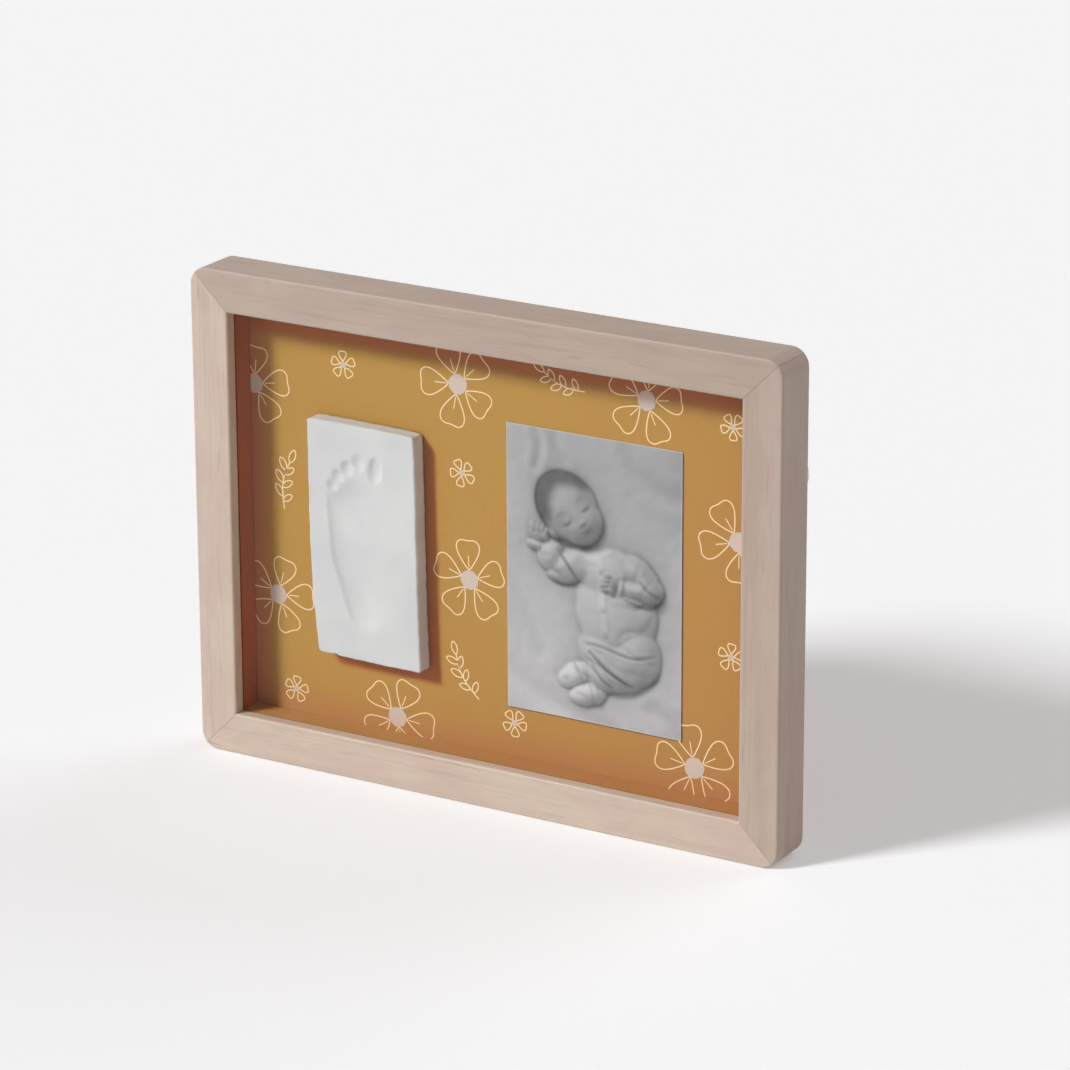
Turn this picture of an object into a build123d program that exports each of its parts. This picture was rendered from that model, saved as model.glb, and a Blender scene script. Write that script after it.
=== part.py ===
from build123d import *
import os
from math import asin, cos, degrees, radians, sin

# Baby footprint frame: a wooden shadow box with a clay imprint and a photo print behind a pane.
# The origin is the middle of the underside. +X is right, -Y is the front and +Z is up.
# All lengths are in millimetres.

# Wooden rails
frame_width = 340.0
frame_height = 260.0
rail_face_width = 22.0
rebate_width = 6.0
outer_corner_radius = 9.5
front_edge_radius = 1.3
rear_edge_radius = 0.6
mitre_gap = 0.08

# What lies behind the front lip, from front to rear
lip_thickness = 6.5
pane_thickness = 2.0
spacer_depth = 12.5
card_gap = 0.3
card_thickness = 1.5
panel_thickness = 4.0
panel_recess = 0.2

# Fits in the rebate
sheet_clearance = 0.5
spacer_thickness = 5.3
panel_edge_chamfer = 0.5

# V-nails in the mitres
nail_leg = 6.0
nail_wall = 0.6
nail_depth = 8.0
nail_first_inset = 4.5
nail_second_inset = 9.5

# Clay slab and its foam pads
clay_width = 67.0
clay_height = 127.0
clay_thickness = 9.0
clay_side_margin = 39.5
clay_drop = 7.0
clay_corner_radius = 1.6
clay_edge_radius = 1.2
clay_outline_shares = (
    (-1.0, 0.97), (-0.4, 1.0), (0.92, 0.985), (0.94, 0.4), (0.97, -0.5), (1.0, -0.99),
    (0.2, -1.0), (-0.7, -0.985), (-0.86, -0.955), (-0.95, -0.5), (-0.99, 0.1),
)
pad_thickness = 1.0
pad_side = 14.0
pad_inset = 9.0

# Footprint pressed into the clay. Each share row is a dent's place across and along the foot,
# then its half width and half height, with the middle of the clay as the foot's middle
foot_length = 96.0
foot_width = 38.0
foot_depth = 2.4
toe_depth = 2.0
foot_lean = 5.0
sole_shares = (
    (-0.03, 0.15, 0.50, 0.185),
    (-0.18, -0.09, 0.34, 0.28),
    (-0.03, -0.36, 0.30, 0.13),
)
toe_shares = (
    (0.35, 0.43, 0.135, 0.08),
    (0.04, 0.47, 0.09, 0.045),
    (-0.15, 0.425, 0.085, 0.042),
    (-0.32, 0.375, 0.08, 0.038),
    (-0.44, 0.315, 0.075, 0.036),
)

# Photo print and its tape strips
print_width = 100.0
print_height = 150.0
print_thickness = 0.3
print_side_margin = 43.5
print_drop = 6.0
tape_thickness = 0.2
tape_width = 12.0
tape_length = 80.0
tape_inset = 14.0

# Screws of the turn buttons and of the hangers
screw_radius = 1.5
screw_length = 12.0
screw_point = 3.0
screw_tip_radius = 0.3
screw_head_radius = 3.0
screw_head_height = 1.4
screw_head_round = 0.9
screw_slot_width = 0.7
screw_slot_length = 3.6
screw_slot_depth = 0.8

# Turn buttons
button_thickness = 1.2
button_pivot_radius = 4.5
button_tip_radius = 3.6
button_length = 15.0
button_flat_length = 12.5
button_tip_lift = 1.2
button_play = 0.1
button_hole_clearance = 0.08
button_offset = 85.0

# Strap hangers and their rings
strap_thickness = 0.8
strap_width = 9.4
strap_length = 20.0
strap_screw_drop = 11.0
ring_wire_radius = 0.9
ring_half_width = 6.2
ring_leg = 5.0
ring_corner_radius = 1.2
ring_hole_clearance = 0.08
ring_rest_clearance = 0.3
hanger_drop = 60.0

# How far cutting shapes run past what they cut
overrun = 5.0

# Sizes that follow from the ones above
frame_depth = (lip_thickness + pane_thickness + spacer_depth + card_gap
               + card_thickness + panel_thickness + panel_recess)
front_y = -frame_depth / 2
back_y = frame_depth / 2
pane_y = front_y + lip_thickness
spacer_y = pane_y + pane_thickness
card_y = spacer_y + spacer_depth + card_gap
panel_y = card_y + card_thickness
middle_z = frame_height / 2
sight_width = frame_width - 2 * rail_face_width
sight_height = frame_height - 2 * rail_face_width
land_width = rail_face_width - rebate_width
rebate_space_width = frame_width - 2 * land_width
rebate_space_height = frame_height - 2 * land_width
sheet_width = rebate_space_width - 2 * sheet_clearance
sheet_height = rebate_space_height - 2 * sheet_clearance
land_x = (frame_width - land_width) / 2
land_low_z = land_width / 2
land_high_z = frame_height - land_width / 2
clay_x = -sight_width / 2 + clay_side_margin + clay_width / 2
clay_z = middle_z - clay_drop
clay_y = card_y - pad_thickness - clay_thickness
print_x = sight_width / 2 - print_side_margin - print_width / 2
print_z = middle_z - print_drop
button_y = back_y + button_play
button_head_y = button_y + button_thickness + button_play
loop_inner_radius = ring_wire_radius + ring_hole_clearance
loop_outer_radius = loop_inner_radius + strap_thickness
ring_reach = ring_leg + ring_half_width
strap_head_top = strap_thickness + screw_head_height
ring_lift = strap_head_top + ring_rest_clearance + ring_wire_radius - loop_outer_radius
ring_tilt = degrees(asin(ring_lift / ring_reach))
hanger_z = frame_height - hanger_drop


def slab(width, depth, height, x, y, z):
    """A block centred on x and z, with its front face at y."""
    return Pos(x, y + depth / 2, z) * Box(width, depth, height)


def prism(sketch, y, depth):
    """A flat shape drawn in x and z, given depth backwards from y."""
    return extrude(Pos(0, y, 0) * (Plane.XZ * sketch), amount=-depth)


def rear_solid(shape, x, y, z):
    """A solid drawn along its own +Z, turned to point backwards from (x, y, z)."""
    return Pos(x, y, z) * (Rot(X=-90) * shape)


def wooden_ring():
    """The four rails before they are cut apart at the mitres."""
    middle = Pos(0, middle_z)
    outside = middle * RectangleRounded(frame_width, frame_height, outer_corner_radius)
    ring = prism(outside, front_y, frame_depth)
    ring -= prism(middle * Rectangle(sight_width, sight_height), front_y - overrun,
                  lip_thickness + 2 * overrun)
    ring -= prism(middle * Rectangle(rebate_space_width, rebate_space_height), pane_y,
                  frame_depth)
    ring = fillet(ring.faces().sort_by(Axis.Y)[0].edges(), front_edge_radius)
    rear_loop = ring.faces().sort_by(Axis.Y)[-1].outer_wire().edges()
    return fillet(rear_loop, rear_edge_radius)


def corner(side_x, side_z, inset):
    """A point on a corner's mitre line, inset from the outer faces."""
    x = side_x * (frame_width / 2 - inset)
    z = middle_z + side_z * (frame_height / 2 - inset)
    return x, z


def rail_zone(first, second):
    """The space between two mitres, where first and second are the corners' (x, z) sides."""
    inner_inset = rail_face_width + overrun
    points = [corner(*first, -overrun), corner(*second, -overrun),
              corner(*second, inner_inset), corner(*first, inner_inset)]
    zone = make_face(Polyline(*points, close=True))
    zone = offset(zone, amount=-mitre_gap / 2, kind=Kind.INTERSECTION)
    return prism(zone, front_y - overrun, frame_depth + 2 * overrun)


def v_nail(side_x, side_z, inset):
    """A steel V across one mitre, with a leg along each of its two rails."""
    x, z = corner(side_x, side_z, inset)
    y = back_y - nail_depth
    leg_middle = (nail_leg - nail_wall) / 2
    along_x = slab(nail_leg, nail_depth, nail_wall, x - side_x * leg_middle, y, z)
    along_z = slab(nail_wall, nail_depth, nail_leg, x, y, z - side_z * leg_middle)
    return along_x + along_z


def screw(x, head_y, z):
    """A pointed pan-head screw driven forwards, with the underside of its head at head_y."""
    head = extrude(Circle(screw_head_radius), amount=screw_head_height)
    head = fillet(head.edges().sort_by(Axis.Z)[-1], screw_head_round)
    slot = Box(screw_slot_length, screw_slot_width, screw_slot_depth,
               align=(Align.CENTER, Align.CENTER, Align.MAX))
    slot = Pos(0, 0, screw_head_height) * slot
    head -= slot + Rot(Z=90) * slot
    shank_length = screw_length - screw_point
    shank = extrude(Circle(screw_radius), amount=-shank_length)
    point = Cone(screw_tip_radius, screw_radius, screw_point,
                 align=(Align.CENTER, Align.CENTER, Align.MAX))
    return rear_solid(head + shank + Pos(0, 0, -shank_length) * point, x, head_y, z)


def turn_button(x, z, angle):
    """A stamped turn button on its pivot, pointing along +X when angle is zero."""
    tip_middle = button_length - button_tip_radius
    plan = make_hull(Circle(button_pivot_radius).edges()
                     + (Pos(tip_middle, 0) * Circle(button_tip_radius)).edges())
    plan -= Circle(screw_radius + button_hole_clearance)
    top = button_thickness + button_tip_lift
    side = make_face(Polyline(
        (-button_pivot_radius, 0), (button_flat_length, 0), (button_length, button_tip_lift),
        (button_length, top), (button_flat_length, button_thickness),
        (-button_pivot_radius, button_thickness), close=True))
    blank = extrude(side, amount=button_pivot_radius, both=True)
    button = prism(plan, 0, top) & blank
    return Pos(x, button_y, z) * (Rot(Y=angle) * button)


def hanger_strap(x):
    """A one-screw strap with its top end rolled into a loop for the ring."""
    plate_height = strap_length - strap_width / 2
    plan = Pos(0, -plate_height / 2) * Rectangle(strap_width, plate_height)
    plan += Pos(0, -plate_height) * Circle(strap_width / 2)
    plan -= Pos(0, -strap_screw_drop) * Circle(screw_radius)
    loop = Cylinder(loop_outer_radius, strap_width, rotation=(0, 90, 0))
    bore = Cylinder(loop_inner_radius, strap_width + 2 * overrun, rotation=(0, 90, 0))
    centre = Pos(0, loop_outer_radius, 0)
    strap = prism(plan, 0, strap_thickness) + centre * loop - centre * bore
    return Pos(x, back_y, hanger_z) * strap


def hanger_ring(x):
    """A bent wire ring that hangs in the loop and leans on the head of the strap's screw."""
    side = ring_half_width
    bend = ring_corner_radius
    bar_end = side - bend
    knee = bend * (1 - cos(radians(45)))
    path = Wire([
        Edge.make_line((-bar_end, 0, 0), (bar_end, 0, 0)),
        Edge.make_three_point_arc((bar_end, 0, 0), (side - knee, 0, -knee), (side, 0, -bend)),
        Edge.make_line((side, 0, -bend), (side, 0, -ring_leg)),
        Edge.make_three_point_arc((side, 0, -ring_leg), (0, 0, -ring_reach),
                                  (-side, 0, -ring_leg)),
        Edge.make_line((-side, 0, -ring_leg), (-side, 0, -bend)),
        Edge.make_three_point_arc((-side, 0, -bend), (-side + knee, 0, -knee), (-bar_end, 0, 0)),
    ])
    section = Plane(origin=(-bar_end, 0, 0), z_dir=(1, 0, 0)) * Circle(ring_wire_radius)
    ring = sweep(section, path=path)
    return Pos(x, back_y + loop_outer_radius, hanger_z) * (Rot(X=ring_tilt) * ring)


def dent(x, y, z, half_width, depth, half_height):
    """The rounded body of a toe or of a part of the sole."""
    return Pos(x, y, z) * scale(Sphere(1), by=(half_width, depth, half_height))


def foot_dents(shares, depth):
    """Dents in the clay's front at (x, z) shares of the foot, with half sizes as shares."""
    dents = []
    lean = radians(foot_lean)
    for x_share, z_share, width_share, height_share in shares:
        along = z_share * foot_length
        across = x_share * foot_width
        x = clay_x + across * cos(lean) - along * sin(lean)
        z = clay_z + along * cos(lean) + across * sin(lean)
        dents.append(dent(x, clay_y, z, width_share * foot_width, depth,
                          height_share * foot_length))
    return dents


def clay_slab():
    """The hand-cut clay slab with the sole and five toes pressed into its front."""
    points = [(clay_x + x * clay_width / 2, clay_z + z * clay_height / 2)
              for x, z in clay_outline_shares]
    outline = make_face(Polyline(*points, close=True))
    block = prism(outline, clay_y, clay_thickness)
    block = fillet(block.edges().filter_by(Axis.Y), clay_corner_radius)
    block = fillet(block.faces().sort_by(Axis.Y)[0].edges(), clay_edge_radius)
    for shape in foot_dents(sole_shares, foot_depth) + foot_dents(toe_shares, toe_depth):
        block -= shape
    return block


def foam_pads():
    """Four pads between the clay and the card, one near each corner of the clay."""
    half_x = clay_width / 2 - pad_inset - pad_side / 2
    half_z = clay_height / 2 - pad_inset - pad_side / 2
    y = card_y - pad_thickness
    return [slab(pad_side, pad_thickness, pad_side, clay_x + side_x * half_x, y,
                 clay_z + side_z * half_z) for side_x in (-1, 1) for side_z in (-1, 1)]


def tape_strips():
    """Two strips between the print and the card, near the print's top and bottom edges."""
    half_z = print_height / 2 - tape_inset - tape_width / 2
    return [slab(tape_length, tape_thickness, tape_width, print_x, card_y - tape_thickness,
                 print_z + side * half_z) for side in (-1, 1)]


def back_panel():
    """The fibreboard panel, with its rear edges broken."""
    panel = slab(sheet_width, panel_thickness, sheet_height, 0, panel_y, middle_z)
    return chamfer(panel.faces().sort_by(Axis.Y)[-1].edges(), panel_edge_chamfer)


corners = [(side_x, side_z) for side_x in (-1, 1) for side_z in (-1, 1)]
nails = [v_nail(*place, inset) for place in corners
         for inset in (nail_first_inset, nail_second_inset)]

# Each turn button: its pivot and the way it points while it lies open along its rail
button_places = {
    "turn_button_top_left": (-button_offset, land_high_z, 0),
    "turn_button_top_right": (button_offset, land_high_z, 0),
    "turn_button_bottom_left": (-button_offset, land_low_z, 180),
    "turn_button_bottom_right": (button_offset, land_low_z, 180),
    "turn_button_side_left": (-land_x, middle_z, 90),
    "turn_button_side_right": (land_x, middle_z, 90),
}
button_screws = [screw(x, button_head_y, z) for x, z, _ in button_places.values()]
strap_head_y = back_y + strap_thickness
strap_screws = [screw(side * land_x, strap_head_y, hanger_z - strap_screw_drop)
                for side in (-1, 1)]

ring = wooden_ring()
rail_ends = {
    "rail_top": ((-1, 1), (1, 1)),
    "rail_bottom": ((-1, -1), (1, -1)),
    "rail_left": ((-1, -1), (-1, 1)),
    "rail_right": ((1, -1), (1, 1)),
}

nodes = {}
for name, ends in rail_ends.items():
    rail = ring & rail_zone(*ends)
    for insert in nails + button_screws + strap_screws:
        rail -= insert
    nodes[name] = rail
nodes["corner_v_nails"] = Compound(children=nails)

spacer_long = sheet_width
spacer_short = sheet_height - 2 * spacer_thickness
spacer_rise = (sheet_height - spacer_thickness) / 2
spacer_side = (sheet_width - spacer_thickness) / 2
nodes["glass_pane"] = slab(sheet_width, pane_thickness, sheet_height, 0, pane_y, middle_z)
for name, side in (("spacer_top", 1), ("spacer_bottom", -1)):
    nodes[name] = slab(spacer_long, spacer_depth, spacer_thickness, 0, spacer_y,
                       middle_z + side * spacer_rise)
for name, side in (("spacer_left", -1), ("spacer_right", 1)):
    nodes[name] = slab(spacer_thickness, spacer_depth, spacer_short, side * spacer_side,
                       spacer_y, middle_z)

nodes["backing_card"] = slab(sheet_width, card_thickness, sheet_height, 0, card_y, middle_z)
nodes["back_panel"] = back_panel()
nodes["clay_foam_pads"] = Compound(children=foam_pads())
nodes["clay_footprint"] = clay_slab()
nodes["photo_tape_strips"] = Compound(children=tape_strips())
nodes["photo_print"] = slab(print_width, print_thickness, print_height, print_x,
                            card_y - tape_thickness - print_thickness, print_z)

for name, (x, z, angle) in button_places.items():
    nodes[name] = turn_button(x, z, angle)
nodes["turn_button_screws"] = Compound(children=button_screws)
for name, side in (("left", -1), ("right", 1)):
    nodes["hanger_strap_" + name] = hanger_strap(side * land_x)
    nodes["hanger_ring_" + name] = hanger_ring(side * land_x)
nodes["hanger_screws"] = Compound(children=strap_screws)

os.makedirs("parts", exist_ok=True)
for name, shape in nodes.items():
    export_step(shape, f"parts/{name}.step")

print("frame depth", round(frame_depth, 2), "ring tilt", round(ring_tilt, 2))
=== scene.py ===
import math

import bpy
import numpy as np
from mathutils import Matrix, Vector


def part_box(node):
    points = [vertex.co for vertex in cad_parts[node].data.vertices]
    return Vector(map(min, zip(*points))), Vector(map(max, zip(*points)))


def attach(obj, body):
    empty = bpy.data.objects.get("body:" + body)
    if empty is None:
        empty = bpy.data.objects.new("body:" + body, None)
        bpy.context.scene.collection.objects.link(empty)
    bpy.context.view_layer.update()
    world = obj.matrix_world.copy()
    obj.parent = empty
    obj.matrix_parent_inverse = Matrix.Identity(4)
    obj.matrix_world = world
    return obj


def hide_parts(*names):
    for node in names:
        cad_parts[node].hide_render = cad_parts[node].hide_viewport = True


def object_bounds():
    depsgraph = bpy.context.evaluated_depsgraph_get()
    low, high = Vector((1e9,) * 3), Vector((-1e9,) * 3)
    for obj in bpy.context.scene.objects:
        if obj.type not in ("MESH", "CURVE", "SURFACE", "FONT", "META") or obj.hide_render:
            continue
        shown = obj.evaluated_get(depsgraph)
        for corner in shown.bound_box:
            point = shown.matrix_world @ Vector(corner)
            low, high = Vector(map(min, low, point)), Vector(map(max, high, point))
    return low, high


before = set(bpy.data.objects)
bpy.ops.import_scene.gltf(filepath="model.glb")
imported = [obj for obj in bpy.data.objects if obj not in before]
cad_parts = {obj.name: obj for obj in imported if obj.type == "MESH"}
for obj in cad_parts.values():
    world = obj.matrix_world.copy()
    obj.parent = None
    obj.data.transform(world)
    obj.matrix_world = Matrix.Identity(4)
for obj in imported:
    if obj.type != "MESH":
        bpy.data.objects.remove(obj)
cad_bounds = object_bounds()
scene = bpy.context.scene

MM = 0.001

# The photograph's view of the frame's front, in metres, degrees and the photograph's pixels
CAMERA_PLACE = Vector((1.2316, -2.0162, 0.9370))
CAMERA_AZIMUTH = 30.9
CAMERA_ELEVATION = 18.62
CAMERA_ROLL = -0.24
FOCAL_PIXELS = 5000.0
PHOTO_PIXELS = 1070.0
SENSOR_WIDTH = 36.0
CAMERA_REACH = 50.0

# Light from the upper left in front of the frame, over an even pale room
KEY_DIRECTION = (-0.72, -1.0, 0.84)
KEY_STRENGTH = 2.42
KEY_SPREAD = 13.0
REAR_DIRECTION = (0.5, 1.0, 0.6)
REAR_STRENGTH = 0.75
REAR_SPREAD = 50.0
ROOM_LIGHT = 0.25
ROOM_TINT = (1.0, 0.88, 0.86, 1.0)
ROOM_SEEN = 0.92
HORIZON_EDGE = -0.05
HORIZON_TOP = 0.75
HORIZON_SEEN = 0.22
FLOOR_GLOW = 0.20
FLOOR_REACH = 6.0

# The parts of a normal on flat faces and on rounded edges, and a noise's dull and glossy levels
ARRIS_PARTS = (0.995, 0.80)
GLOSS_LEVELS = (0.3, 0.7)

# Whitewashed wood: its noises, each with cells per metre along and across the grain, detail,
# roughness and warp, its colours, and what lies on the pink ground from which level to which
WOOD_FIELDS = {
    "streaks": (14, 620, 4, 0.62, 0.15),
    "bands": (3.5, 95, 2, 0.5, 0.4),
    "blotches": (24, 70, 3, 0.6, 0.6),
    "figure": (7, 190, 3, 0.6, 1.2),
    "dashes": (40, 620, 2, 0.5, 0.3),
    "pores": (55, 1900, 2, 0.5),
    "fine": (60, 2600, 2, 0.5),
}
# The pale tint is a painted highlight on the rounded edges
WOOD_TINTS = {
    "beige": (213, 196, 179), "pink": (209, 188, 174), "pale": (224, 204, 187),
    "dark": (176, 153, 137), "brown": (168, 136, 118),
}
WOOD_LAYERS = (
    ("blotches", 0.38, 0.62, 1.0, "beige"),
    ("streaks", 0.48, 0.76, 0.30, "dark"),
    ("bands", 0.45, 0.25, 0.25, "dark"),
    ("figure", 0.56, 0.74, 0.35, "dark"),
    ("dashes", 0.64, 0.78, 0.50, "brown"),
    ("pores", 0.66, 0.78, 0.50, "dark"),
)

# Where painted shade on the wood starts and ends as it darkens towards the upper right, and how much;
# and the line along a mitre, from its edge to its core, how strong, and its colour
WOOD_PAINTED_SHADE = (-20 * MM, 280 * MM, 0.25)
MITRE_LINE = (0.45 * MM, 0.1 * MM, 0.18)
MITRE_TINT = (120, 98, 84)

# Hand-cut clay slab, with its outline as shares of its half sizes from its middle
CLAY_LEFT_SHARES = ((-0.86, -0.978), (-0.95, -0.5), (-0.99, 0.1), (-1.0, 0.998))
CLAY_RIGHT_SHARES = ((1.0, -0.99), (0.97, -0.5), (0.94, 0.4), (0.92, 0.985))
CLAY_BOTTOM_SHARES = ((-0.86, -0.978), (-0.3, -0.986), (0.3, -0.990), (1.0, -0.99))
CLAY_TOP_SHARES = ((-1.0, 0.998), (-0.4, 1.0), (0.92, 0.985))
CLAY_STEP = 0.5
CLAY_EDGE_STEP = 0.2
CLAY_CORNER = 2.2
CLAY_ARRIS = 1.3
CLAY_FACE_INSET = 0.3
CLAY_LEAST_INSET = 0.02
CLAY_FACE_WAVES = ((0.05, 9.0), (0.015, 1.5))
CLAY_EDGE_WAVES = ((0.10, 4.0), (0.05, 1.2))
CLAY_MOST_WAVE = 0.4
CLAY_WAVE_REACH = 2.0
CLAY_NICK = 0.7
CLAY_NICK_GRAIN = 0.8
CLAY_NICK_PLACE_SHARE = -0.66
CLAY_NICK_HALF_SHARE = 0.05
CLAY_LIP = 0.16
CLAY_LIP_REACH = 3.2
CLAY_LIP_START = 2.0
CLAY_LIP_FULL = 0.35
CLAY_SIDE_ROWS = 10
CLAY_SIDE_DISH = 0.25
CLAY_SIDE_WAVE = 0.10
CLAY_SIDE_SWINGS = 9.0
CLAY_SIDE_BLUR_CELLS = 5
CLAY_MOST_DISH = 0.6
CLAY_SEED = 3

# Footprint in the clay, in millimetres across and up from the clay's middle
SOLE_END = (-0.4, -47.5)
SOLE_OUTER_LINE = (
    (-23.2, 31.0), (-22.8, 28.0), (-20.9, 9.9), (-19.2, -8.8), (-15.0, -20.4),
    (-11.8, -30.7), (-8.5, -39.5), (-4.5, -44.5), SOLE_END,
)
SOLE_INNER_LINE = (
    (16.0, 32.0), (19.0, 24.0), (18.0, 14.0), (13.0, 2.0), (10.5, -10.0), (11.5, -22.0),
    (14.0, -31.0), (13.6, -38.0), (9.0, -44.0), SOLE_END,
)
SOLE_TOP_LINE = ((-24.0, 27.0), (-18.0, 30.0), (-8.0, 35.5), (4.0, 36.5), (14.0, 33.0), (24.0, 24.0))
SOLE_DEPTH = 1.8
SOLE_EDGE_SHARE = 0.20
SOLE_EDGE_WIDTH = 1.8
SOLE_BASIN_WIDTH = 11.0
SOLE_LEAST_WIDTH = 4.0
SOLE_FADE_SHARE = 0.95
SOLE_TOP_LENGTH = 12.0
SOLE_END_LENGTH = 9.0
HEEL_FADE_SHARE = 0.60
HEEL_START = -16.0
HEEL_LENGTH = 14.0
SOLE_SWELLS = (((8.0, -2.0), (9.0, 16.0), -0.30), ((4.0, 17.0), (13.0, 10.0), 0.18))
TOES = (
    ((-18.0, 29.6), (3.2, 3.4), 30, 1.25),
    ((-15.0, 35.0), (3.2, 3.7), 24, 1.45),
    ((-9.2, 40.0), (3.4, 4.1), 14, 1.6),
    ((-2.4, 43.8), (3.7, 4.7), 4, 1.2),
    ((7.6, 41.2), (4.0, 7.2), -5, 1.6),
)
TOE_ROUNDNESS = 0.8
IMPRINT_BLUR_CELLS = 1.5

# Printed card and linings: where they warm from the upper left to the lower right, and how much
CARD_WARMS = (-220 * MM, 160 * MM, 1.0)

# Painted shade on the card: a terracotta tint by its edges, a band under the top, shadows of the clay
# and picture
EDGE_SHADE_TINT_START = 6.0 * MM
EDGE_SHADE_TINT_REACH = 24.0 * MM
EDGE_SHADE_TINT_STRONG = 0.85
EDGE_SHADE_TINT_WEAK = 0.40
TOP_SHADE_START = 15.0 * MM
TOP_SHADE_REACH = 23.0 * MM
SHADE_STRENGTH = 0.9
CLAY_SHADE_REACH = (4.6 * MM, 5.6 * MM)
CLAY_SHADE_FADE = 3.4 * MM
CLAY_SHADE_CUTS = (2.7 * MM, 4.7 * MM)
PRINT_SHADE_REACH = (0.35 * MM, 0.45 * MM)
PRINT_SHADE_FADE = 0.7 * MM

# The card's pattern in millimetres, with each blossom's and sprig's place, size and turn
LINE_WIDTH = 0.64
LINE_THICKNESS = 0.05
LINE_LAYERS = 5
SPOT_THICKNESS = 0.08
PETALS = 5
PATTERN_SEED = 11
LARGE_KIND = {"start": 0.25, "half": 0.44, "reach": (0.94, 1.04), "wander": 4, "steps": 36,
              "heart": 0.235, "heart_steps": 28, "vein": (0.30, 0.58)}
SMALL_KIND = {"start": 0.26, "half": 0.42, "reach": (0.94, 1.05), "wander": 5, "steps": 20,
              "heart": 0.24, "heart_steps": 14, "vein": None}
HEART_RAGGED = 0.05
VEIN_WIDTH = 0.8 * LINE_WIDTH
LARGE_BLOSSOMS = (
    ((-146.0, 196.0), 22.0, 12), ((-24.0, 214.0), 23.0, 40), ((-134.0, 84.0), 22.0, 5),
    ((-62.0, 30.0), 23.0, 66), ((-18.0, 112.0), 22.0, 20), ((84.0, 222.0), 22.0, 8),
    ((136.0, 158.0), 23.0, 50), ((112.0, 36.0), 24.0, 28),
)
SMALL_BLOSSOMS = (
    ((-92.0, 214.0), 7.5, 20), ((-22.0, 168.0), 7.5, 44), ((-124.0, 34.0), 7.5, 10),
    ((8.0, 40.0), 7.5, 60), ((132.0, 98.0), 7.5, 15), ((132.0, 216.0), 7.0, 55),
)
SPRIGS = (
    ((-126.0, 146.0), 30.0, 78), ((-20.0, 62.0), 30.0, 118), ((36.0, 226.0), 28.0, 160),
)
PETAL_DIMPLE = 0.06
PETAL_DIMPLE_REACH = 0.35
PETAL_FULLNESS = (0.62, -0.38)
SPRIG_BEND_SHARE = 0.12
SPRIG_TIP_SHARE = 0.86
LEAF_PAIRS = 3
LEAF_FIRST = 0.18
LEAF_STEP = 0.24
LEAF_STAGGER = 0.04
LEAF_LEAN = (38, 50)
LEAF_TIP_LEAN = -12
LEAF_LENGTH = (0.21, 0.25)
LEAF_HALF = 0.24
LEAF_POINT = 0.4

# Photo print, with the soft light over it and the picture's own light, hollows and shadows
PRINT_STEP = 0.5
PRINT_BORDER = 0.4
PRINT_EDGE = 0.80
PRINT_REAR = 0.93
PRINT_CAST = (0.985, 0.995, 1.02)
PRINT_LEVELS = (0.14, 0.93)
PRINT_LIGHT = 0.96
PRINT_LIGHT_ACROSS = -0.0006
PRINT_LIGHT_UP = -0.00087
PICTURE_SEED = 7
PICTURE_LIGHT = (-0.40, 0.50, 0.77)
PICTURE_MOST_SLOPE = 0.8
PICTURE_HOLLOWS = ((7.0, 0.05), (1.4, 0.26))
PICTURE_ROOM_SHARE = 0.58
PICTURE_SHADOW = 0.60
PICTURE_SHADOW_CELLS = 20
PICTURE_LEAST_RISE = 0.4
HEAD_PLACE = (-14.0, 35.5)
HEAD_HALF = (17.0, 21.5)
HEAD_LEAN = 42.0

# The face's cheeks, eye hollows, lids and nostrils, by places across and along, and its ridge of
# the nose, tip, lips, the hollow below them and the chin, with half sizes, rise and shade
FACE_MIDDLE = 1.2
SIDE_FORMS = (
    (8.0, -11.5, (7.0, 6.5), 1.5, 0.0), (6.8, -4.2, (5.4, 3.4), -0.9, 0.05),
    (6.8, -4.0, (3.3, 2.2), 1.0, 0.0), (1.9, -10.4, (1.2, 1.1), 0.4, 0.0),
)
FACE_FORMS = (
    (-5.5, (1.7, 4.0), 0.6, 0.0), (-9.6, (2.0, 1.7), 1.2, 0.0), (-13.3, (3.6, 0.9), 0.5, 0.12),
    (-15.6, (2.8, 1.0), 0.7, 0.12), (-17.3, (3.2, 0.8), -0.4, 0.0), (-19.3, (3.8, 2.0), 0.8, 0.0),
)
HANDS = (((-31.0, 20.5), -8, 1), ((9.0, 0.0), 82, -1))


def linked(name, data):
    """A new object in the scene that shows the data."""
    thing = bpy.data.objects.new(name, data)
    scene.collection.objects.link(thing)
    return thing


def add_camera():
    azimuth = math.radians(CAMERA_AZIMUTH)
    elevation = math.radians(CAMERA_ELEVATION)
    roll = math.radians(CAMERA_ROLL)
    back = Vector((math.sin(azimuth) * math.cos(elevation),
                   -math.cos(azimuth) * math.cos(elevation), math.sin(elevation)))
    level = Vector((math.cos(azimuth), math.sin(azimuth), 0))
    upright = back.cross(level)
    right = math.cos(roll) * level + math.sin(roll) * upright
    up = math.cos(roll) * upright - math.sin(roll) * level
    data = bpy.data.cameras.new("camera")
    data.sensor_width = SENSOR_WIDTH
    data.sensor_fit = "HORIZONTAL"
    data.lens = FOCAL_PIXELS / PHOTO_PIXELS * SENSOR_WIDTH
    data.clip_end = CAMERA_REACH
    camera = linked("camera", data)
    turn = Matrix((right, up, back)).transposed()
    camera.matrix_world = Matrix.Translation(CAMERA_PLACE) @ turn.to_4x4()
    scene.camera = camera


def add_sun(name, direction, strength, spread):
    data = bpy.data.lights.new(name, "SUN")
    data.energy = strength
    data.angle = math.radians(spread)
    linked(name, data).rotation_euler = Vector(direction).to_track_quat("Z", "Y").to_euler()


def linear(level):
    """Screen levels from 0 to 1 as linear ones."""
    return np.where(level <= 0.04045, level / 12.92, ((level + 0.055) / 1.055) ** 2.4)


def colour(red, green, blue, tone=1.0):
    """A screen colour from 0 to 255, times the tone, as a linear colour."""
    return (*linear(np.array((red, green, blue)) * tone / 255), 1)


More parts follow.
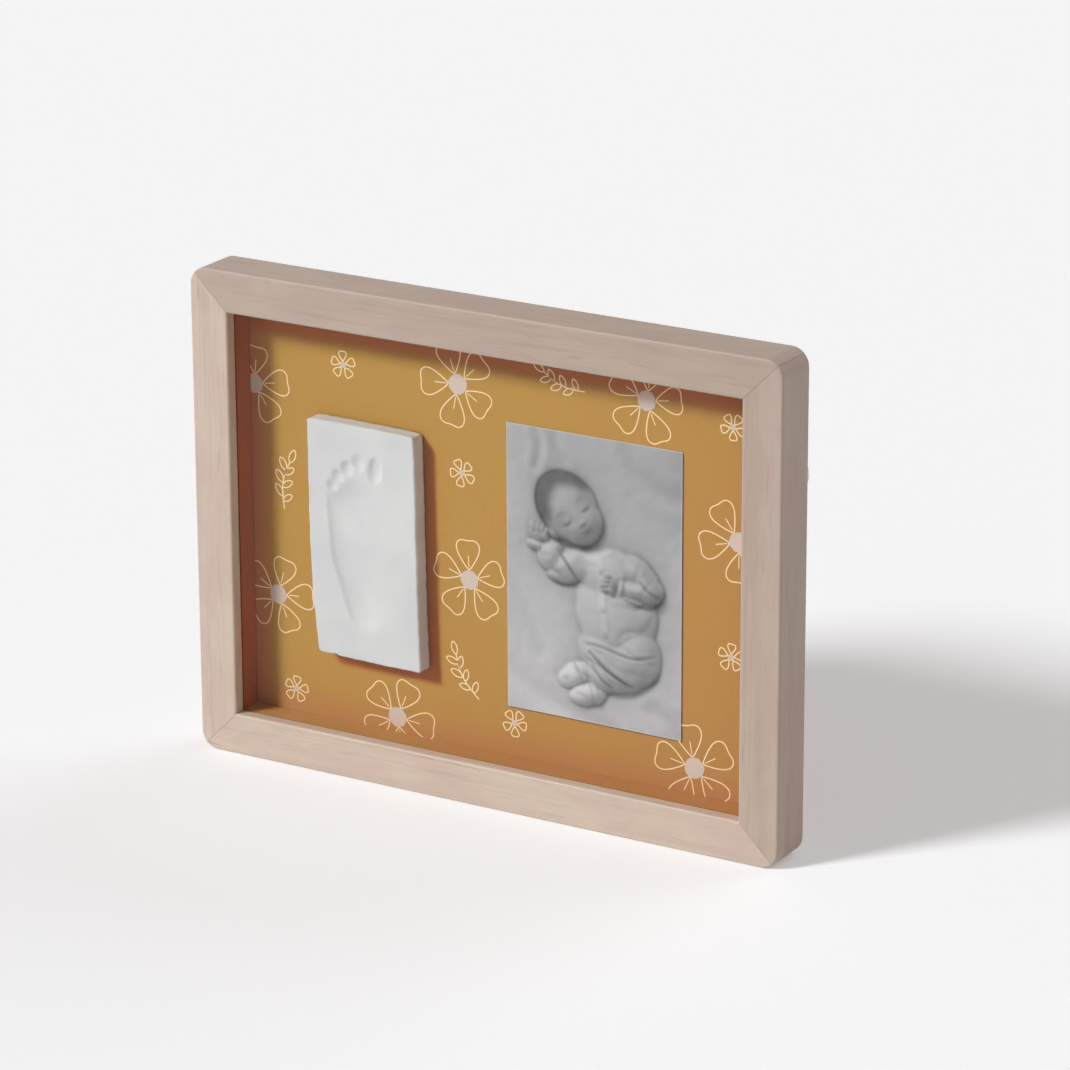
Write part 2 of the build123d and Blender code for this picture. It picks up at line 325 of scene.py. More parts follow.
class Nodes:
    """Short ways to add nodes to a tree."""

    def __init__(self, owner):
        owner.use_nodes = True
        self.tree = owner.node_tree

    def add(self, kind, *values, **settings):
        """A node with its settings, and with values or other nodes' sockets on its first inputs."""
        node = self.tree.nodes.new(kind)
        for name, value in settings.items():
            setattr(node, name, value)
        for socket, value in zip(node.inputs, values):
            self.put(socket, value)
        return node

    def put(self, socket, value):
        if isinstance(value, bpy.types.NodeSocket):
            self.tree.links.new(value, socket)
        else:
            socket.default_value = value

    def feed(self, node, **values):
        """Values for a node's inputs by their names, in which _ stands for a space."""
        for name, value in values.items():
            self.put(node.inputs[name.replace("_", " ")], value)
        return node.outputs[0]

    def graded(self, value, low, high, first=0.0, last=1.0):
        """The value's way from low to high, as a smooth step from first to last."""
        return self.add("ShaderNodeMapRange", value, low, high, first, last,
                        interpolation_type="SMOOTHSTEP").outputs[0]

    def sum(self, operation, *values):
        """One step of arithmetic on sockets and numbers."""
        return self.add("ShaderNodeMath", *values, operation=operation).outputs[0]

    def split(self, socket):
        """X, Y and Z of a vector."""
        return self.add("ShaderNodeSeparateXYZ", socket).outputs

    def blend(self, share, first, second):
        """One shader, or by the share another."""
        return self.add("ShaderNodeMixShader", share, first, second).outputs[0]

    def rays(self, *names):
        """1 for rays of the named kinds and 0 for others."""
        path = self.add("ShaderNodeLightPath")
        share = 0.0
        for name in names:
            share = self.sum("MAXIMUM", path.outputs[name], share)
        return share

    def seen_rays(self):
        """1 for rays from the camera, in gloss or through glass, and 0 for those that only light."""
        return self.rays("Is Camera Ray", "Is Glossy Ray", "Is Transmission Ray")


def add_room():
    """A pale room: a soft even light, a flat pale backdrop, and a darker horizon in gloss."""
    scene.world = bpy.data.worlds.new("room")
    nodes = Nodes(scene.world)
    before = nodes.feed(nodes.tree.nodes["Background"], Color=ROOM_TINT, Strength=ROOM_LIGHT)
    way = nodes.add("ShaderNodeTexCoord").outputs["Generated"]
    horizon = nodes.graded(nodes.split(way)[2], HORIZON_EDGE, HORIZON_TOP, HORIZON_SEEN, ROOM_SEEN)
    for share, strength in ((nodes.seen_rays(), ROOM_SEEN), (nodes.rays("Is Glossy Ray"), horizon)):
        shone = nodes.add("ShaderNodeBackground", (1, 1, 1, 1), strength)
        before = nodes.blend(share, before, shone.outputs[0])
    nodes.put(nodes.tree.nodes["World Output"].inputs["Surface"], before)


class Paint(Nodes):
    """A material and the nodes that give its colour, gloss and relief."""

    def __init__(self, name, roughness=0.6, metallic=0.0):
        self.material = bpy.data.materials.new(name)
        super().__init__(self.material)
        self.shader = self.tree.nodes["Principled BSDF"]
        self.feed(self.shader, Roughness=roughness, Metallic=metallic)
        self.space = self.add("ShaderNodeTexCoord")

    def places(self, scale, shift=(0.0, 0.0, 0.0)):
        """Object coordinates with cells per metre along X, Y and Z."""
        return self.feed(self.add("ShaderNodeMapping"), Vector=self.space.outputs["Object"],
                         Scale=scale, Location=shift)

    def noise(self, scale, shift=(0.0, 0.0, 0.0), detail=3.0, roughness=0.5, warp=0.0):
        return self.feed(self.add("ShaderNodeTexNoise"), Vector=self.places(scale, shift), Scale=1.0,
                         Detail=detail, Roughness=roughness, Distortion=warp)

    def mix(self, share, first, second):
        node = self.add("ShaderNodeMix", data_type="RGBA")
        self.put(node.inputs[0], share)
        self.put(node.inputs[6], first)
        self.put(node.inputs[7], second)
        return node.outputs[2]

    def laid(self, tint, value, low, high, most, over):
        """The tint with another laid over it as the value goes from low to high."""
        return self.mix(self.graded(value, low, high, 0.0, most), tint, over)

    def axes(self, kind="Object"):
        """X, Y and Z of the object coordinates, or of another kind."""
        return self.split(self.space.outputs[kind])

    def arris(self, most):
        """The most on rounded edges, whose normals lean between the axes, and 0 on flat faces."""
        steepest = 0.0
        for part in self.axes("Normal"):
            steepest = self.sum("MAXIMUM", self.sum("ABSOLUTE", part), steepest)
        return self.graded(steepest, *ARRIS_PARTS, 0.0, most)

    def colour(self, value):
        self.feed(self.shader, Base_Color=value)

    def gloss(self, value, rough, glossy):
        self.feed(self.shader, Roughness=self.graded(value, *GLOSS_LEVELS, rough, glossy))

    def relief(self, *layers):
        """Bumps from pairs of a height and its size in metres."""
        before = None
        for height, size in layers:
            node = self.add("ShaderNodeBump")
            if before is not None:
                self.feed(node, Normal=before)
            before = self.feed(node, Strength=1.0, Distance=size, Height=height)
        self.feed(self.shader, Normal=before)


def wood(name, upright, shift, tone):
    """Whitewashed pale wood with its grain along the rail."""
    paint = Paint(name, roughness=0.62)
    fields = {}
    for field, (along, across, *rest) in WOOD_FIELDS.items():
        scale = (across, across, along) if upright else (along, across, across)
        fields[field] = paint.noise(scale, shift, *rest)
    tints = {tint: colour(*levels, tone=tone) for tint, levels in WOOD_TINTS.items()}
    tint = tints["pink"]
    for field, low, high, most, over in WOOD_LAYERS:
        tint = paint.laid(tint, fields[field], low, high, most, tints[over])
    x, _, z = paint.axes()
    towards_corner = paint.sum("ADD", x, paint.sum("MULTIPLY", z, 0.5))
    # Painted shade: the wood darkens towards the upper right corner
    tint = paint.laid(tint, towards_corner, *WOOD_PAINTED_SHADE, tints["dark"])
    # Painted highlight: the pale tint on the rounded edges
    tint = paint.mix(paint.arris(0.45), tint, tints["pale"])
    paint.colour(paint.laid(tint, mitre_distance(paint), *MITRE_LINE, colour(*MITRE_TINT)))
    paint.gloss(fields["streaks"], 0.70, 0.56)
    paint.relief((fields["streaks"], 0.06 * MM), (fields["fine"], 0.05 * MM),
                 (fields["pores"], -0.05 * MM))
    return paint.material


def mitre_distance(paint):
    """How far a place is from the nearest mitre, which runs at 45 degrees to the corner."""
    low, high = cad_bounds
    x, _, z = paint.axes()
    from_side = paint.sum("SUBTRACT", high[0], paint.sum("ABSOLUTE", x))
    middle = (low[2] + high[2]) / 2
    from_end = paint.sum("SUBTRACT", middle - low[2],
                         paint.sum("ABSOLUTE", paint.sum("SUBTRACT", z, middle)))
    return paint.sum("ABSOLUTE", paint.sum("SUBTRACT", from_side, from_end))


def clear_glass():
    """Clear glass that lamps and the light bounced inside the frame pass straight."""
    paint = Paint("clear_glass", roughness=0.02)
    glass = paint.feed(paint.shader, Transmission_Weight=1.0, IOR=1.15, Base_Color=(1, 1, 1, 1))
    clear = paint.add("ShaderNodeBsdfTransparent").outputs[0]
    straight = paint.rays("Is Shadow Ray", "Is Diffuse Ray")
    output = paint.tree.nodes["Material Output"]
    paint.put(output.inputs["Surface"], paint.blend(straight, glass, clear))
    return paint.material


def paper(name, first, second, speck):
    """Matt printed card, warmer towards the lower right, with faint fibres."""
    paint = Paint(name, roughness=0.82)
    x, _, z = paint.axes()
    slant = paint.sum("SUBTRACT", x, z)
    clouds = paint.noise((14, 14, 14), detail=2)
    slant = paint.sum("ADD", slant, paint.sum("MULTIPLY", clouds, 0.08))
    tint = paint.laid(first, slant, *CARD_WARMS, second)
    fibres = paint.noise((1500, 1500, 420), detail=3, roughness=0.6)
    paint.colour(paint.laid(tint, fibres, 0.35, 0.75, 0.16, speck))
    paint.gloss(fibres, 0.88, 0.76)
    paint.relief((fibres, 0.03 * MM), (clouds, 0.05 * MM))
    return paint


def card_paper():
    """The ochre card, with painted shade: a terracotta tint by its edges, a band under the top and
    shadows of the clay and picture.
    """
    paint = paper("ochre_card", colour(182, 140, 62), colour(177, 128, 63), colour(202, 162, 96))
    low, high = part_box("backing_card")
    x, _, z = paint.axes()
    tint = paint.shader.inputs["Base Color"].links[0].from_socket
    from_top = paint.sum("SUBTRACT", high[2], z)
    edges = (
        (from_top, EDGE_SHADE_TINT_STRONG),
        (paint.sum("SUBTRACT", x, low[0]), EDGE_SHADE_TINT_STRONG),
        (paint.sum("SUBTRACT", high[0], x), EDGE_SHADE_TINT_WEAK),
        (paint.sum("SUBTRACT", z, low[2]), EDGE_SHADE_TINT_WEAK),
    )
    # Painted shade: a terracotta tint along the card's edges, strongest at the top and left where the
    # rails' shade falls
    share = 0.0
    for distance, strength in edges:
        near = paint.graded(distance, EDGE_SHADE_TINT_REACH, EDGE_SHADE_TINT_START, 0.0, strength)
        share = paint.sum("MAXIMUM", near, share)
    tint = paint.mix(share, tint, colour(188, 118, 84))
    # Painted shadows on the card: a darker band under the top rail and the shadow right of and below
    # the clay
    painted_top_shade = paint.graded(from_top, TOP_SHADE_REACH, TOP_SHADE_START, 0.0, SHADE_STRENGTH)
    painted_clay_shadow = beside(paint, "clay_footprint", CLAY_SHADE_REACH, CLAY_SHADE_FADE, CLAY_SHADE_CUTS)
    tint = paint.mix(paint.sum("MAXIMUM", painted_top_shade, painted_clay_shadow), tint, colour(180, 104, 62))
    # Painted shadow: a thin dark line right of and below the picture
    painted_print_shadow = beside(paint, "photo_print", PRINT_SHADE_REACH, PRINT_SHADE_FADE)
    paint.colour(paint.mix(painted_print_shadow, tint, colour(112, 72, 46)))
    return paint.material


def beside(paint, name, reach, fade, cuts=(0.0, 0.0)):
    """The strength of a painted shadow right of a piece on the card and below it, and 0 further out.
    """
    low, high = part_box(name)
    x, _, z = paint.axes()
    above = paint.sum("SUBTRACT", z, low[2])
    lean = cuts[0] / (high[2] - low[2])
    leant = paint.sum("ADD", x, paint.sum("MULTIPLY", above, lean))
    slope = -KEY_DIRECTION[2] / KEY_DIRECTION[0]
    slant = paint.sum("ADD", z, paint.sum("MULTIPLY", x, slope))
    first = low[2] + slope * (low[0] + cuts[1])
    last = high[2] + slope * (high[0] - cuts[0])
    limits = (
        (leant, high[0] + reach[0] + fade, high[0] + reach[0]),
        (above, -reach[1] - fade, -reach[1]),
        (slant, first, first + fade),
        (slant, last, last - fade),
        (x, low[0], low[0] + fade),
        (z, high[2], high[2] - fade),
    )
    share = SHADE_STRENGTH
    for value, outer, inner in limits:
        share = paint.sum("MULTIPLY", paint.graded(value, outer, inner), share)
    return share


def speckled(name, roughness, cells, first, second, bump, low=0.4, high=0.7, most=1.0):
    """A plain material with a finely speckled colour and relief."""
    paint = Paint(name, roughness)
    specks = paint.noise(cells, detail=2)
    paint.colour(paint.laid(first, specks, low, high, most, second))
    paint.relief((specks, bump))
    return paint.material


def ink(name, tint, faded):
    return speckled(name, 0.7, (900, 900, 900), tint, faded, 0.01 * MM, 0.40, 0.75, 0.45)


def dried_clay():
    """Matt off-white air-dried clay with a fine grain and a few tiny pits, darkened inside by painted
    shade.
    """
    paint = Paint("dried_clay", roughness=0.88)
    grains = paint.noise((1300, 1300, 1300), detail=4, roughness=0.6)
    lumps = paint.noise((170, 170, 170), detail=3)
    clouds = paint.noise((28, 28, 28), detail=2)
    pits = paint.add("ShaderNodeTexVoronoi")
    paint.feed(pits, Vector=paint.places((210, 210, 210)), Scale=1.0)
    pit_and_shade = paint.graded(pits.outputs["Distance"], 0.10, 0.045)
    tint = paint.laid(colour(208, 211, 211), clouds, 0.35, 0.68, 1.0, colour(218, 220, 219))
    tint = paint.laid(tint, grains, 0.55, 0.80, 0.30, colour(200, 200, 196))
    # Painted shade: the pits are darker inside
    paint.colour(paint.mix(paint.sum("MULTIPLY", pit_and_shade, 0.25), tint, colour(176, 174, 168)))
    paint.relief((lumps, 0.14 * MM), (grains, 0.05 * MM), (pit_and_shade, -0.08 * MM))
    return paint.material


def photo_paper():
    """Satin photo paper that carries the picture as colours of the mesh."""
    paint = Paint("photo_paper", roughness=0.42)
    print_tone = paint.add("ShaderNodeAttribute", attribute_name="picture")
    sheen = paint.noise((2400, 2400, 2400), detail=2)
    paint.colour(print_tone.outputs["Color"])
    paint.gloss(sheen, 0.48, 0.38)
    paint.relief((sheen, 0.006 * MM))
    return paint.material


def fibreboard():
    """Brown hardboard with short fibres and slightly darker rounded edges."""
    paint = Paint("fibreboard", roughness=0.78)
    specks = paint.noise((900, 900, 900), detail=4, roughness=0.65)
    fibres = paint.noise((420, 420, 1500), detail=3)
    clouds = paint.noise((18, 18, 18), detail=3)
    tint = paint.laid(colour(168, 130, 94), clouds, 0.30, 0.75, 1.0, colour(174, 137, 101))
    tint = paint.laid(tint, specks, 0.50, 0.72, 0.55, colour(132, 98, 68))
    tint = paint.laid(tint, fibres, 0.54, 0.74, 0.34, colour(200, 166, 130))
    paint.colour(paint.mix(paint.arris(0.4), tint, colour(120, 90, 62)))
    paint.gloss(specks, 0.84, 0.66)
    paint.relief((specks, 0.06 * MM), (fibres, 0.05 * MM))
    return paint.material


def foam():
    return speckled("adhesive_foam", 0.9, (2200, 2200, 2200), colour(236, 234, 228),
                    colour(216, 213, 205), 0.08 * MM)


def tape():
    return speckled("tape", 0.35, (300, 900, 300), colour(228, 222, 206),
                    colour(214, 206, 186), 0.02 * MM)


def steel(name, tint, stain, rough, polished, brushing):
    """Metal with faint brushing, dull stains and brighter rounded edges."""
    paint = Paint(name, roughness=rough, metallic=1.0)
    brushed = paint.noise(brushing, detail=3, roughness=0.6)
    stains = paint.noise((420, 420, 420), detail=4, roughness=0.6)
    mixed = paint.laid(tint, stains, 0.45, 0.80, 0.40, stain)
    paint.colour(paint.mix(paint.arris(0.3), mixed, colour(236, 236, 232)))
    paint.gloss(brushed, rough, polished)
    paint.relief((brushed, 0.012 * MM), (stains, 0.01 * MM))
    return paint.material


def floor_finish():
    """A pale floor that keeps shadows and looks lighter than it lights the frame."""
    paint = Paint("floor", roughness=1.0)
    paint.colour(colour(243, 246, 248))
    glow = paint.sum("MULTIPLY", paint.seen_rays(), FLOOR_GLOW)
    paint.feed(paint.shader, Specular_IOR_Level=0.0, Emission_Color=(1, 1, 1, 1),
               Emission_Strength=glow)
    return paint.material


def blurred(field, sigma):
    """A field blurred by a Gaussian of sigma cells, with its edges held."""
    reach = max(1, int(3 * sigma))
    weights = np.exp(-0.5 * (np.arange(-reach, reach + 1) / sigma) ** 2)
    weights /= weights.sum()
    for axis in (0, 1):
        pads = [(0, 0), (0, 0)]
        pads[axis] = (reach, reach)
        held = np.pad(field, pads, mode="edge")
        field = np.apply_along_axis(np.convolve, axis, held, weights, mode="valid")
    return field


def soft_noise(draws, shape, sigma):
    """Random swells about sigma cells wide, with a standard deviation of 1."""
    field = blurred(draws.standard_normal(shape), sigma)
    return field / field.std()


def from_line(x, y, points):
    """The distance of each place from a line through the points."""
    least = np.full(x.shape, np.inf)
    for (ax, ay), (bx, by) in zip(points, points[1:]):
        run_x, run_y = bx - ax, by - ay
        share = ((x - ax) * run_x + (y - ay) * run_y) / (run_x ** 2 + run_y ** 2)
        share = share.clip(0, 1)
        least = np.minimum(least, np.hypot(x - ax - share * run_x, y - ay - share * run_y))
    return least


def smooth_line(points, steps=8):
    """A rounded line through the points."""
    points = [points[0], *points, points[-1]]
    line = []
    for a, b, c, d in zip(points, points[1:], points[2:], points[3:]):
        a, b, c, d = map(np.array, (a, b, c, d))
        for t in np.linspace(0, 1, steps, endpoint=False):
            line.append(0.5 * (2 * b + (c - a) * t + (2 * a - 5 * b + 4 * c - d) * t ** 2
                               + (3 * b - a - 3 * c + d) * t ** 3))
    return line + [np.array(points[-1])]


def soft_step(value):
    value = np.clip(value, 0, 1)
    return value * value * (3 - 2 * value)


def placed(place, across, along, lean):
    """Where a point of a form lies when the form is turned and stands at the place."""
    turn = math.radians(lean)
    return (place[0] + across * math.cos(turn) - along * math.sin(turn),
            place[1] + across * math.sin(turn) + along * math.cos(turn))


def local_places(place, lean, x, y):
    """How far across and along a turned form at the place each point lies."""
    turn = math.radians(lean)
    x, y = x - place[0], y - place[1]
    return (x * math.cos(turn) + y * math.sin(turn), y * math.cos(turn) - x * math.sin(turn))


def add_mesh(name, points, faces, finish):
    mesh = bpy.data.meshes.new(name)
    mesh.from_pydata([tuple(point) for point in points], [], faces)
    mesh.materials.append(finish)
    return linked(name, mesh)


def add_piece(name, points, faces, finish, replaced=None):
    """A closed mesh in the frame's metres that rides on the back, in place of a node or beside it."""
    piece = add_mesh(name, points, faces, finish)
    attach(piece, "back")
    if replaced:
        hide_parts(replaced)
    return piece


def grid_faces(rows, columns):
    """Quads between the points of a grid that lies row after row."""
    corner = (np.arange(rows - 1)[:, None] * columns + np.arange(columns - 1)).ravel()
    quads = np.stack([corner, corner + 1, corner + columns + 1, corner + columns], axis=1)
    return quads.tolist()


def rim_order(rows, columns):
    """The grid's outer points in order round its edge."""
    bottom = np.arange(columns)
    right = np.arange(1, rows) * columns + columns - 1
    top = (rows - 1) * columns + np.arange(columns - 2, -1, -1)
    left = np.arange(rows - 2, 0, -1) * columns
    return np.concatenate([bottom, right, top, left])


def ring_faces(before, after, closed=True):
    """Quads between two rings of points, or between two open lines."""
    quads = np.stack([before, after, np.roll(after, -1), np.roll(before, -1)], axis=1)
    return (quads if closed else quads[:-1]).tolist()


def closed_sheet(front, rows, columns, rings):
    """A grid's points and faces, closed by rings behind its rim and one rear face."""
    faces = grid_faces(rows, columns)
    before = rim_order(rows, columns)
    start = len(front)
    for ring in rings:
        after = start + np.arange(len(ring))
        faces += ring_faces(before, after)
        before = after
        start += len(ring)
    faces.append(before[::-1].tolist())
    return np.concatenate([front, *rings]), faces


def eased_steps(length):
    """Places from 0 to the length, closer together near both ends."""
    edge = 2 * CLAY_ARRIS
    near = np.arange(0, edge, CLAY_EDGE_STEP)
    far = np.linspace(edge, length - edge, int((length - 2 * edge) / CLAY_STEP))
    return np.concatenate([near, far, length - near[::-1]])


def rounded_grid(*lengths):
    """Places on the slab with round corners, as shares of its lengths, and their edge distances."""
    starts = np.meshgrid(*map(eased_steps, lengths))
    near = [np.minimum(at, length - at) for at, length in zip(starts, lengths)]
    out = [CLAY_CORNER - distance for distance in near]
    pull = np.maximum(*out) / np.maximum(np.hypot(*out), 1e-9)
    in_corner = np.minimum(*out) > 0
    shares, distances = [], []
    for at, length, before, beyond in zip(starts, lengths, near, out):
        distance = np.where(in_corner, CLAY_CORNER - beyond * pull, before)
        moved = at + np.where(at < length / 2, 1, -1) * (distance - before)
        shares.append(moved / length)
        distances.append(distance)
    return *shares, *distances


def clay_outline(share_x, share_z):
    """The shares of a rectangle moved between the slab's four cut sides, from -1 to 1."""
    width_at, height_at = 2 * share_x - 1, 2 * share_z - 1

    def cut(at, axis, shares):
        return np.interp(at, *[[share[key] for share in shares] for key in (axis, 1 - axis)])

    left, right = (cut(height_at, 1, shares) for shares in (CLAY_LEFT_SHARES, CLAY_RIGHT_SHARES))
    bottom, top = (cut(width_at, 0, shares) for shares in (CLAY_BOTTOM_SHARES, CLAY_TOP_SHARES))
    return left + share_x * (right - left), bottom + share_z * (top - bottom)


def clay_sides(rim, rear, middle, draws):
    """Rings of points from the rim to the rear, a little hollow and uneven as a knife leaves them."""
    thrice = np.tile(draws.standard_normal((1, len(rim))), (1, 3))
    wobble = blurred(thrice, CLAY_SIDE_BLUR_CELLS)[0, len(rim):-len(rim)]
    wobble /= wobble.std()
    rings = []
    for row in range(1, CLAY_SIDE_ROWS + 1):
        share = row / CLAY_SIDE_ROWS
        ring = rim.copy()
        ring[:, 1] += share * (rear - rim[:, 1])
        away = ring - middle
        away[:, 1] = 0
        away /= np.linalg.norm(away, axis=1)[:, None]
        dish = CLAY_SIDE_DISH * math.sin(math.pi * share) ** 2
        dish = dish + CLAY_SIDE_WAVE * abs(math.sin(CLAY_SIDE_SWINGS * share)) * wobble
        ring -= away * np.clip(dish, 0, CLAY_MOST_DISH)[:, None]
        rings.append(ring)
    return rings


def add_clay():
    """The hand-cut slab with the footprint, on the foam pads in front of the card."""
    low, high = (np.array(corner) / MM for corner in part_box("clay_footprint"))
    half, middle = (high - low) / 2, (high + low) / 2
    share_x, share_z, side, end = rounded_grid(2 * half[0], 2 * half[2])
    x, z = clay_outline(share_x, share_z)
    x, z = x * half[0], z * half[2]
    draws = np.random.default_rng(CLAY_SEED)

    def noise(size):
        return soft_noise(draws, x.shape, size / CLAY_STEP)

    def waves(layers):
        return sum(amount * noise(size) for amount, size in layers)

    rough = np.abs(waves(CLAY_EDGE_WAVES)).clip(0, CLAY_MOST_WAVE)
    from_nick = (2 * share_x - 1 - CLAY_NICK_PLACE_SHARE) / CLAY_NICK_HALF_SHARE
    nick = CLAY_NICK * np.exp(-from_nick ** 2) * (0.6 + 0.4 * noise(CLAY_NICK_GRAIN))
    x += np.where(share_x < 0.5, 1, -1) * rough * np.exp(-side / CLAY_WAVE_REACH)
    chipped = np.where(share_z < 0.5, rough + nick.clip(0), -rough)
    z += chipped * np.exp(-end / CLAY_WAVE_REACH)
    both = np.hypot((CLAY_ARRIS - side).clip(0), (CLAY_ARRIS - end).clip(0)).clip(0, CLAY_ARRIS)
    arris = CLAY_ARRIS - np.sqrt(CLAY_ARRIS ** 2 - both ** 2)
    press = footprint(x, z)
    risen = soft_step((blurred(press, CLAY_LIP_REACH / CLAY_STEP) - press) / CLAY_LIP_FULL)
    lip = CLAY_LIP * risen * (np.minimum(side, end) > CLAY_LIP_START)
    face = CLAY_FACE_INSET + waves(CLAY_FACE_WAVES) - blurred(lip, IMPRINT_BLUR_CELLS)
    depth = face.clip(CLAY_LEAST_INSET) + press + arris
    front = np.stack([middle[0] + x, low[1] + depth, middle[2] + z], axis=-1).reshape(-1, 3)
    rings = clay_sides(front[rim_order(*x.shape)], high[1], middle, draws)
    points, faces = closed_sheet(front, *x.shape, rings)
    slab = add_piece("clay_footprint_slab", points * MM, faces, dried_clay(),
                     "clay_footprint")
    slab.data.shade_smooth()


def footprint(x, z):
    """How deep a baby's foot pressed the clay: crisp along its outer side, soft along the arch."""
    def side(line):
        points = np.array(smooth_line(line[::-1]))
        return np.interp(z, points[:, 1], points[:, 0])

    outer_x, inner_x = side(SOLE_OUTER_LINE), side(SOLE_INNER_LINE)
    top_z = np.interp(x, *np.array(SOLE_TOP_LINE).T)
    from_outer = (x - outer_x).clip(0)
    edge = soft_step(from_outer / SOLE_EDGE_WIDTH)
    basin = 1 - (1 - from_outer / SOLE_BASIN_WIDTH).clip(0) ** 2
    heel = soft_step((HEEL_START - z) / HEEL_LENGTH)
    fade_share = SOLE_FADE_SHARE + (HEEL_FADE_SHARE - SOLE_FADE_SHARE) * heel
    width = (inner_x - outer_x).clip(SOLE_LEAST_WIDTH)
    press = SOLE_DEPTH * (SOLE_EDGE_SHARE * edge + (1 - SOLE_EDGE_SHARE) * basin)
    press *= soft_step((inner_x - x) / (width * fade_share))
    press *= soft_step((z - SOLE_END[1]) / SOLE_END_LENGTH)
    press *= soft_step((top_z - z) / SOLE_TOP_LENGTH)
    for (place_x, place_z), (half_x, half_z), gain in SOLE_SWELLS:
        press *= 1 + gain * np.exp(-((x - place_x) / half_x) ** 2 - ((z - place_z) / half_z) ** 2)
    for place, half, lean, depth in TOES:
        across, along = local_places(place, lean, x, z)
        share = (across / half[0]) ** 2 + (along / half[1]) ** 2
        press = np.maximum(press, depth * (1 - share).clip(0) ** TOE_ROUNDNESS)
    return blurred(press, IMPRINT_BLUR_CELLS)


def add_print():
    """The photo print, whose picture is worked out as a colour for each point of its mesh."""
    low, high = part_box("photo_print")
    half_x, half_z = ((high[axis] - low[axis]) / 2 / MM for axis in (0, 2))
    x, z = np.meshgrid(*[np.linspace(-half, half, round(2 * half / PRINT_STEP) + 1)
                         for half in (half_x, half_z)])
    grey = sleeping_baby(x, z, PRINT_STEP)
    border = np.minimum(half_x - np.abs(x), half_z - np.abs(z)) < PRINT_BORDER
    grey = np.where(border, PRINT_EDGE, grey)
    middle_x, middle_z = (high[0] + low[0]) / 2, (high[2] + low[2]) / 2
    front = np.stack([middle_x + x * MM, np.full(x.shape, low[1]), middle_z + z * MM], axis=-1)
    front = front.reshape(-1, 3)
    ring = front[rim_order(*x.shape)].copy()
    ring[:, 1] = high[1]
    points, faces = closed_sheet(front, *x.shape, [ring])
    piece = add_piece("sleeping_baby_print", points, faces, photo_paper(),
                      "photo_print")
    rear = np.full(len(points) - grey.size, PRINT_REAR)
    tones = linear(np.concatenate([grey.ravel(), rear]))
    tints = np.stack([tones * share for share in PRINT_CAST] + [np.ones(len(tones))], axis=-1)
    layer = piece.data.color_attributes.new("picture", "FLOAT_COLOR", "POINT")
    layer.data.foreach_set("color", tints.astype(np.float32).ravel())


